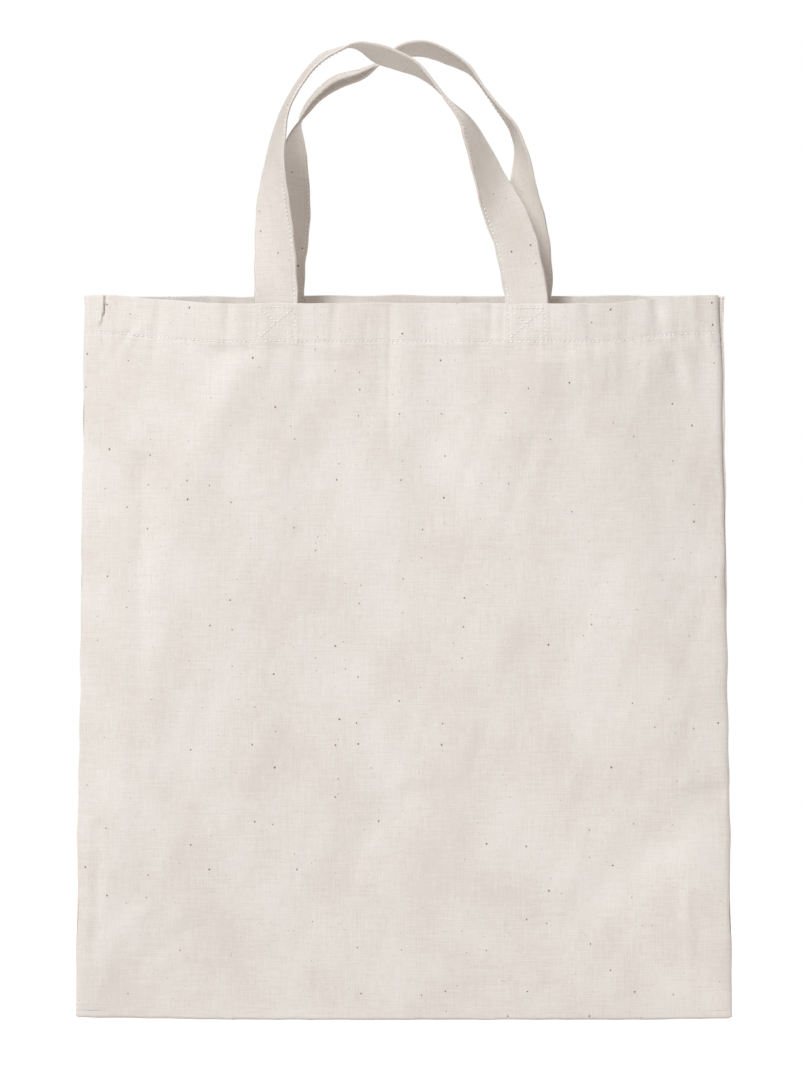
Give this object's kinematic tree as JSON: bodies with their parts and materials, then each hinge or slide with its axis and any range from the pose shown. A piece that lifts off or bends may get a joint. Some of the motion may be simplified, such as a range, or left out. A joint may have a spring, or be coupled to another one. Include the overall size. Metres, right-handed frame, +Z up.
{
  "type": "tote bag",
  "caption": "Flat cotton tote bag with a turned hem at the mouth and two long strap handles sewn inside it with box and cross stitching.",
  "frame": {"origin": "middle of the underside of the bottom fold", "axes": "+Z up from the bottom fold to the mouth, +X to the right seen from the front, -Y towards the front wall"},
  "size_m": [0.38, 0.0532, 0.5684],
  "materials": {
    "cloth": "undyed plain-weave cotton with dark seed flecks, matt",
    "strap": "the same cotton folded into four layers, matt",
    "thread": "off-white sewing thread, slightly glossy"
  },
  "bodies": {
    "base": {"bottom_fold": "cloth"},
    "front_panel": {"front_panel": "cloth", "front_hem": "cloth", "front_hem_stitches": "thread", "front_handle_left_end": "strap", "front_handle_right_end": "strap", "front_left_box_stitches": "thread", "front_right_box_stitches": "thread"},
    "front_left_side": {"front_left_side": "cloth", "front_left_hem": "cloth", "front_left_hem_stitches": "thread"},
    "front_right_side": {"front_right_side": "cloth", "front_right_hem": "cloth", "front_right_hem_stitches": "thread"},
    "back_panel": {"back_panel": "cloth", "back_hem": "cloth", "back_hem_stitches": "thread", "back_handle_left_end": "strap", "back_handle_right_end": "strap", "back_left_box_stitches": "thread", "back_right_box_stitches": "thread"},
    "back_left_side": {"back_left_side": "cloth", "back_left_hem": "cloth", "back_left_hem_stitches": "thread", "left_side_seam": "cloth", "left_side_seam_stitches": "thread"},
    "back_right_side": {"back_right_side": "cloth", "back_right_hem": "cloth", "back_right_hem_stitches": "thread", "right_side_seam": "cloth", "right_side_seam_stitches": "thread"},
    "front_handle": {"front_handle": "strap", "front_handle_edge_stitches": "thread"},
    "back_handle": {"back_handle": "strap", "back_handle_edge_stitches": "thread"}
  },
  "joints": [
    {"name": "mouth_open", "type": "hinge", "parent": "base", "child": "front_panel", "pos_m": [0, -0.0015, 0.006], "axis": [1, 0, 0], "range_deg": [0, 3.5], "stiffness_Nm_per_rad": 0.4},
    {"name": "front_handle_fold", "type": "hinge", "parent": "front_panel", "child": "front_handle", "pos_m": [0, -0.0159, 0.41975], "axis": [1, 0, 0], "range_deg": [0, 165]},
    {"name": "back_handle_fold", "type": "hinge", "parent": "back_panel", "child": "back_handle", "pos_m": [0, 0.0159, 0.41975], "axis": [-1, 0, 0], "range_deg": [0, 165]},
    {"name": "back_open", "type": "hinge", "parent": "base", "child": "back_panel", "pos_m": [0, 0.0015, 0.006], "axis": [-1, 0, 0], "range_deg": [0, 3.5]},
    {"name": "front_left_fold", "type": "hinge", "parent": "front_panel", "child": "front_left_side", "pos_m": [-0.19, -0.0015, 0.006], "axis": [-0.2124, 0.034, -0.9766], "range_deg": [0, 18.27]},
    {"name": "front_right_fold", "type": "hinge", "parent": "front_panel", "child": "front_right_side", "pos_m": [0.19, -0.0015, 0.006], "axis": [-0.2124, -0.034, 0.9766], "range_deg": [0, 18.27]},
    {"name": "back_left_fold", "type": "hinge", "parent": "back_panel", "child": "back_left_side", "pos_m": [-0.19, 0.0015, 0.006], "axis": [0.2124, 0.034, 0.9766], "range_deg": [0, 18.27]},
    {"name": "back_right_fold", "type": "hinge", "parent": "back_panel", "child": "back_right_side", "pos_m": [0.19, 0.0015, 0.006], "axis": [0.2124, -0.034, -0.9766], "range_deg": [0, 18.27]}
  ],
  "couplings": [
    {"joint": "back_open", "follows": "mouth_open", "ratio": 1},
    {"joint": "front_left_fold", "follows": "mouth_open", "ratio": 5.216},
    {"joint": "front_right_fold", "follows": "mouth_open", "ratio": 5.216},
    {"joint": "back_left_fold", "follows": "mouth_open", "ratio": 5.216},
    {"joint": "back_right_fold", "follows": "mouth_open", "ratio": 5.216}
  ]
}
